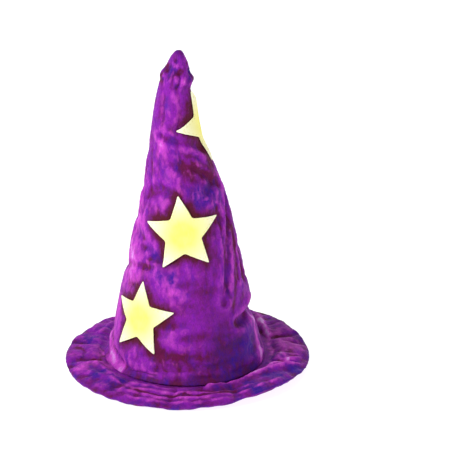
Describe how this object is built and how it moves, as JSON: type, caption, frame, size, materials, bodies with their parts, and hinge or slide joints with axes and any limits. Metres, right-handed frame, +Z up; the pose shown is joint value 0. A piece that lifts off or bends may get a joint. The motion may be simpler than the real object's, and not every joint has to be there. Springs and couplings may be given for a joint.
{
  "type": "witch hat",
  "caption": "Soft costume witch hat: tall leaning velvet crown on foam with a floppy tip, padded wired brim, felt stars, satin lining and a ribbon sweatband.",
  "frame": {"origin": "middle of the head opening, on the surface that the brim rests on", "axes": "+Z up through the crown, -Y to the front of the hat, +X to the right of somebody looking at the front"},
  "size_m": [0.31, 0.31, 0.399],
  "materials": {
    "purple_velvet": "crushed velvet with a soft sheen",
    "foam": "matt open-cell foam sheet",
    "wadding": "loose polyester wadding",
    "satin_lining": "satin",
    "ribbon": "grosgrain ribbon",
    "woven_label": "woven tape, blank",
    "yellow_felt": "matt felt",
    "steel_wire": "bright drawn wire"
  },
  "bodies": {
    "hat": {"crown_velvet": "purple_velvet", "crown_neck_velvet": "purple_velvet", "crown_foam": "foam", "crown_lining": "satin_lining", "brim_top_velvet": "purple_velvet", "brim_foam": "foam", "brim_underside_velvet": "purple_velvet", "brim_wire": "steel_wire", "wire_joiner": "steel_wire", "sweatband": "ribbon", "size_label": "woven_label", "star_front_low": "yellow_felt", "star_front_middle": "yellow_felt", "star_right_high": "yellow_felt", "star_back_right": "yellow_felt", "star_back_middle": "yellow_felt", "star_back_left": "yellow_felt"},
    "tip": {"crown_tip_velvet": "purple_velvet", "tip_wadding": "wadding"}
  },
  "joints": [
    {"name": "tip_flop", "type": "hinge", "parent": "hat", "child": "tip", "pos_m": [-0.0125, 0, 0.353], "axis": [1, 0, 0], "range_deg": [-40, 40], "stiffness_Nm_per_rad": 0.01, "deforming": ["crown_neck_velvet"]}
  ]
}
